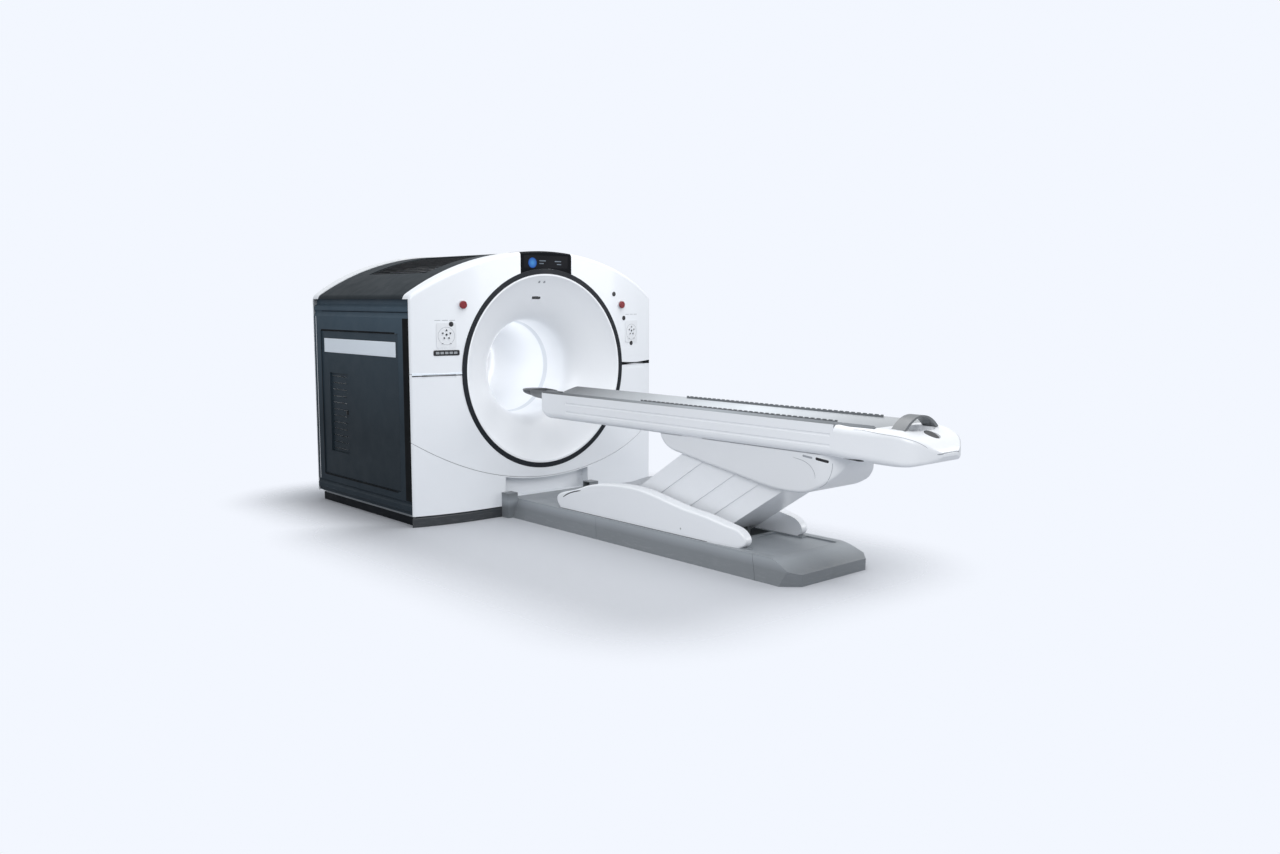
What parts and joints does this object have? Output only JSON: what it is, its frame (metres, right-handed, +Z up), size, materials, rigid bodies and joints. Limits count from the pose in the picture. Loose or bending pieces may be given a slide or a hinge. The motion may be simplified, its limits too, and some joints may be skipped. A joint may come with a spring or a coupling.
{
  "type": "ct scanner",
  "caption": "Ring-shaped body scanner with a flared white bore, dark side doors and a docked patient table on slanted lift arms.",
  "frame": {"origin": "on the floor, below the middle of the gantry", "axes": "+Y along the bore, from the table's side into the gantry; +X to the right seen from the table; +Z up; the table lies toward -Y"},
  "size_m": [2.256, 5.138, 1.965],
  "materials": {
    "gantry_white": "smooth satin white",
    "table_white": "smooth satin white",
    "bore_white": "satin white",
    "window_film": "thin matt film",
    "ring_slate": "satin dark slate",
    "slate_panel": "satin dark slate",
    "slate_door": "satin dark slate",
    "slate_top": "semi-gloss near black",
    "dark_grille": "matt near black",
    "display_black": "gloss black",
    "screen_black": "gloss black",
    "plinth_grey": "satin grey",
    "base_grey": "satin grey",
    "keypad_white": "matt off-white",
    "button_red": "gloss red",
    "latch_black": "satin black",
    "frame_paint": "grey powder coat",
    "machined_steel": "machined",
    "rotor_alloy": "machined",
    "unit_grey": "satin grey",
    "belt_black": "matt black",
    "cradle_grey": "satin mid grey",
    "rail_dark": "satin dark grey",
    "holder_dark": "satin near black",
    "handle_grey": "satin dark grey",
    "button_black": "gloss black"
  },
  "bodies": {
    "gantry": {"gantry_base": "frame_paint", "front_plinth": "plinth_grey", "gantry_frame": "frame_paint", "rotor_bearing": "machined_steel", "front_cover_upper_left": "gantry_white", "front_cover_upper_right": "gantry_white", "front_cover_lower": "gantry_white", "front_cover_apron": "gantry_white", "front_funnel": "bore_white", "ring_trim": "ring_slate", "scan_window": "window_film", "bore_liner": "bore_white", "rear_funnel": "bore_white", "rear_cover": "gantry_white", "top_cover": "slate_top", "top_vents": "dark_grille", "display_bezel": "display_black", "display_screen": "screen_black", "side_panel_left": "slate_panel", "side_panel_right": "slate_panel", "control_panel_left": "keypad_white", "control_panel_right": "keypad_white", "brush_block": "unit_grey", "pet_detector_ring": "unit_grey", "drive_motor": "unit_grey", "drive_belt": "belt_black", "base_frame": "frame_paint", "base_cover": "base_grey", "shroud_left": "table_white", "shroud_right": "table_white", "actuator_barrel": "unit_grey"},
    "rotor": {"rotor_drum": "rotor_alloy", "xray_tube": "unit_grey", "hv_generator": "unit_grey", "ct_detector": "rotor_alloy", "slip_ring": "machined_steel"},
    "drive_pulley": {"drive_pulley": "machined_steel"},
    "service_door_left": {"service_door_left": "slate_door"},
    "service_door_right": {"service_door_right": "slate_door"},
    "door_latch_left": {"door_latch_left": "latch_black"},
    "door_latch_right": {"door_latch_right": "latch_black"},
    "estop_left": {"estop_left": "button_red"},
    "estop_right": {"estop_right": "button_red"},
    "actuator_rod": {"actuator_rod": "machined_steel"},
    "lift_arm_head": {"lift_arm_head": "frame_paint", "arm_cover_head": "table_white"},
    "arm_cover_upper": {"arm_cover_upper": "table_white"},
    "arm_cover_lower": {"arm_cover_lower": "table_white"},
    "lift_arm_foot": {"lift_arm_foot": "frame_paint", "arm_cover_foot": "table_white"},
    "carriage": {"carriage_frame": "frame_paint", "saddle": "table_white", "housing": "table_white", "housing_head_cap": "table_white", "nose_cover": "table_white"},
    "release_handle": {"release_handle": "handle_grey"},
    "release_button": {"release_button": "button_black"},
    "cradle": {"cradle": "cradle_grey", "strap_rails": "rail_dark", "head_holder": "holder_dark"}
  },
  "joints": [
    {"name": "rotor_spin", "type": "hinge", "parent": "gantry", "child": "rotor", "pos_m": [0, -0.33, 1.082], "axis": [0, 1, 0], "continuous": true},
    {"name": "pulley_spin", "type": "hinge", "parent": "gantry", "child": "drive_pulley", "pos_m": [0.9, -0.265, 0.33], "axis": [0, 1, 0], "continuous": true},
    {"name": "door_left_swing", "type": "hinge", "parent": "gantry", "child": "service_door_left", "pos_m": [-1.106, -0.566, 0.8], "axis": [0, 0, 1], "range_deg": [0, 95]},
    {"name": "door_right_swing", "type": "hinge", "parent": "gantry", "child": "service_door_right", "pos_m": [1.106, -0.566, 0.8], "axis": [0, 0, -1], "range_deg": [0, 95]},
    {"name": "latch_left_turn", "type": "hinge", "parent": "service_door_left", "child": "door_latch_left", "pos_m": [-1.104, 0.236, 0.737], "axis": [1, 0, 0], "range_deg": [0, 90]},
    {"name": "latch_right_turn", "type": "hinge", "parent": "service_door_right", "child": "door_latch_right", "pos_m": [1.104, 0.236, 0.737], "axis": [-1, 0, 0], "range_deg": [0, 90]},
    {"name": "estop_left_push", "type": "slide", "parent": "gantry", "child": "estop_left", "axis": [0.0797, 0.9968, 0], "range_m": [0, 0.005], "stiffness_N_per_m": 1500, "springref_m": -0.003},
    {"name": "estop_right_push", "type": "slide", "parent": "gantry", "child": "estop_right", "axis": [-0.0797, 0.9968, 0], "range_m": [0, 0.005], "stiffness_N_per_m": 1500, "springref_m": -0.003},
    {"name": "lift", "type": "hinge", "parent": "gantry", "child": "lift_arm_head", "pos_m": [0, -1.91209, 0.19], "axis": [-1, 0, 0], "range_deg": [-21.5, 5]},
    {"name": "lift_upper_cover", "type": "hinge", "parent": "gantry", "child": "arm_cover_upper", "pos_m": [0, -2.1875, 0.19], "axis": [-1, 0, 0], "range_deg": [-21.5, 5]},
    {"name": "lift_lower_cover", "type": "hinge", "parent": "gantry", "child": "arm_cover_lower", "pos_m": [0, -2.49045, 0.19], "axis": [-1, 0, 0], "range_deg": [-21.5, 5]},
    {"name": "lift_foot", "type": "hinge", "parent": "gantry", "child": "lift_arm_foot", "pos_m": [0, -2.74383, 0.19], "axis": [-1, 0, 0], "range_deg": [-21.5, 5]},
    {"name": "carriage_level", "type": "hinge", "parent": "lift_arm_head", "child": "carriage", "pos_m": [0, -2.66689, 0.68017], "axis": [-1, 0, 0], "range_deg": [-5, 21.5]},
    {"name": "actuator_stroke", "type": "slide", "parent": "gantry", "child": "actuator_rod", "axis": [0, -1, 0], "range_m": [-0.0461, 0.0108]},
    {"name": "cradle_slide", "type": "slide", "parent": "carriage", "child": "cradle", "axis": [0, 1, 0], "range_m": [0, 1.7]},
    {"name": "handle_lift", "type": "slide", "parent": "carriage", "child": "release_handle", "axis": [0, 0, 1], "range_m": [0, 0.006], "stiffness_N_per_m": 900, "springref_m": -0.01},
    {"name": "button_push", "type": "slide", "parent": "carriage", "child": "release_button", "axis": [0, 0.4848, -0.8746], "range_m": [0, 0.004], "stiffness_N_per_m": 1200, "springref_m": -0.003}
  ],
  "couplings": [
    {"joint": "pulley_spin", "follows": "rotor_spin", "ratio": 12.461},
    {"joint": "lift_upper_cover", "follows": "lift", "ratio": 1},
    {"joint": "lift_lower_cover", "follows": "lift", "ratio": 1},
    {"joint": "lift_foot", "follows": "lift", "ratio": 1},
    {"joint": "carriage_level", "follows": "lift", "ratio": -1},
    {"joint": "actuator_stroke", "follows": "lift", "m_per_rad": 0.1225}
  ]
}
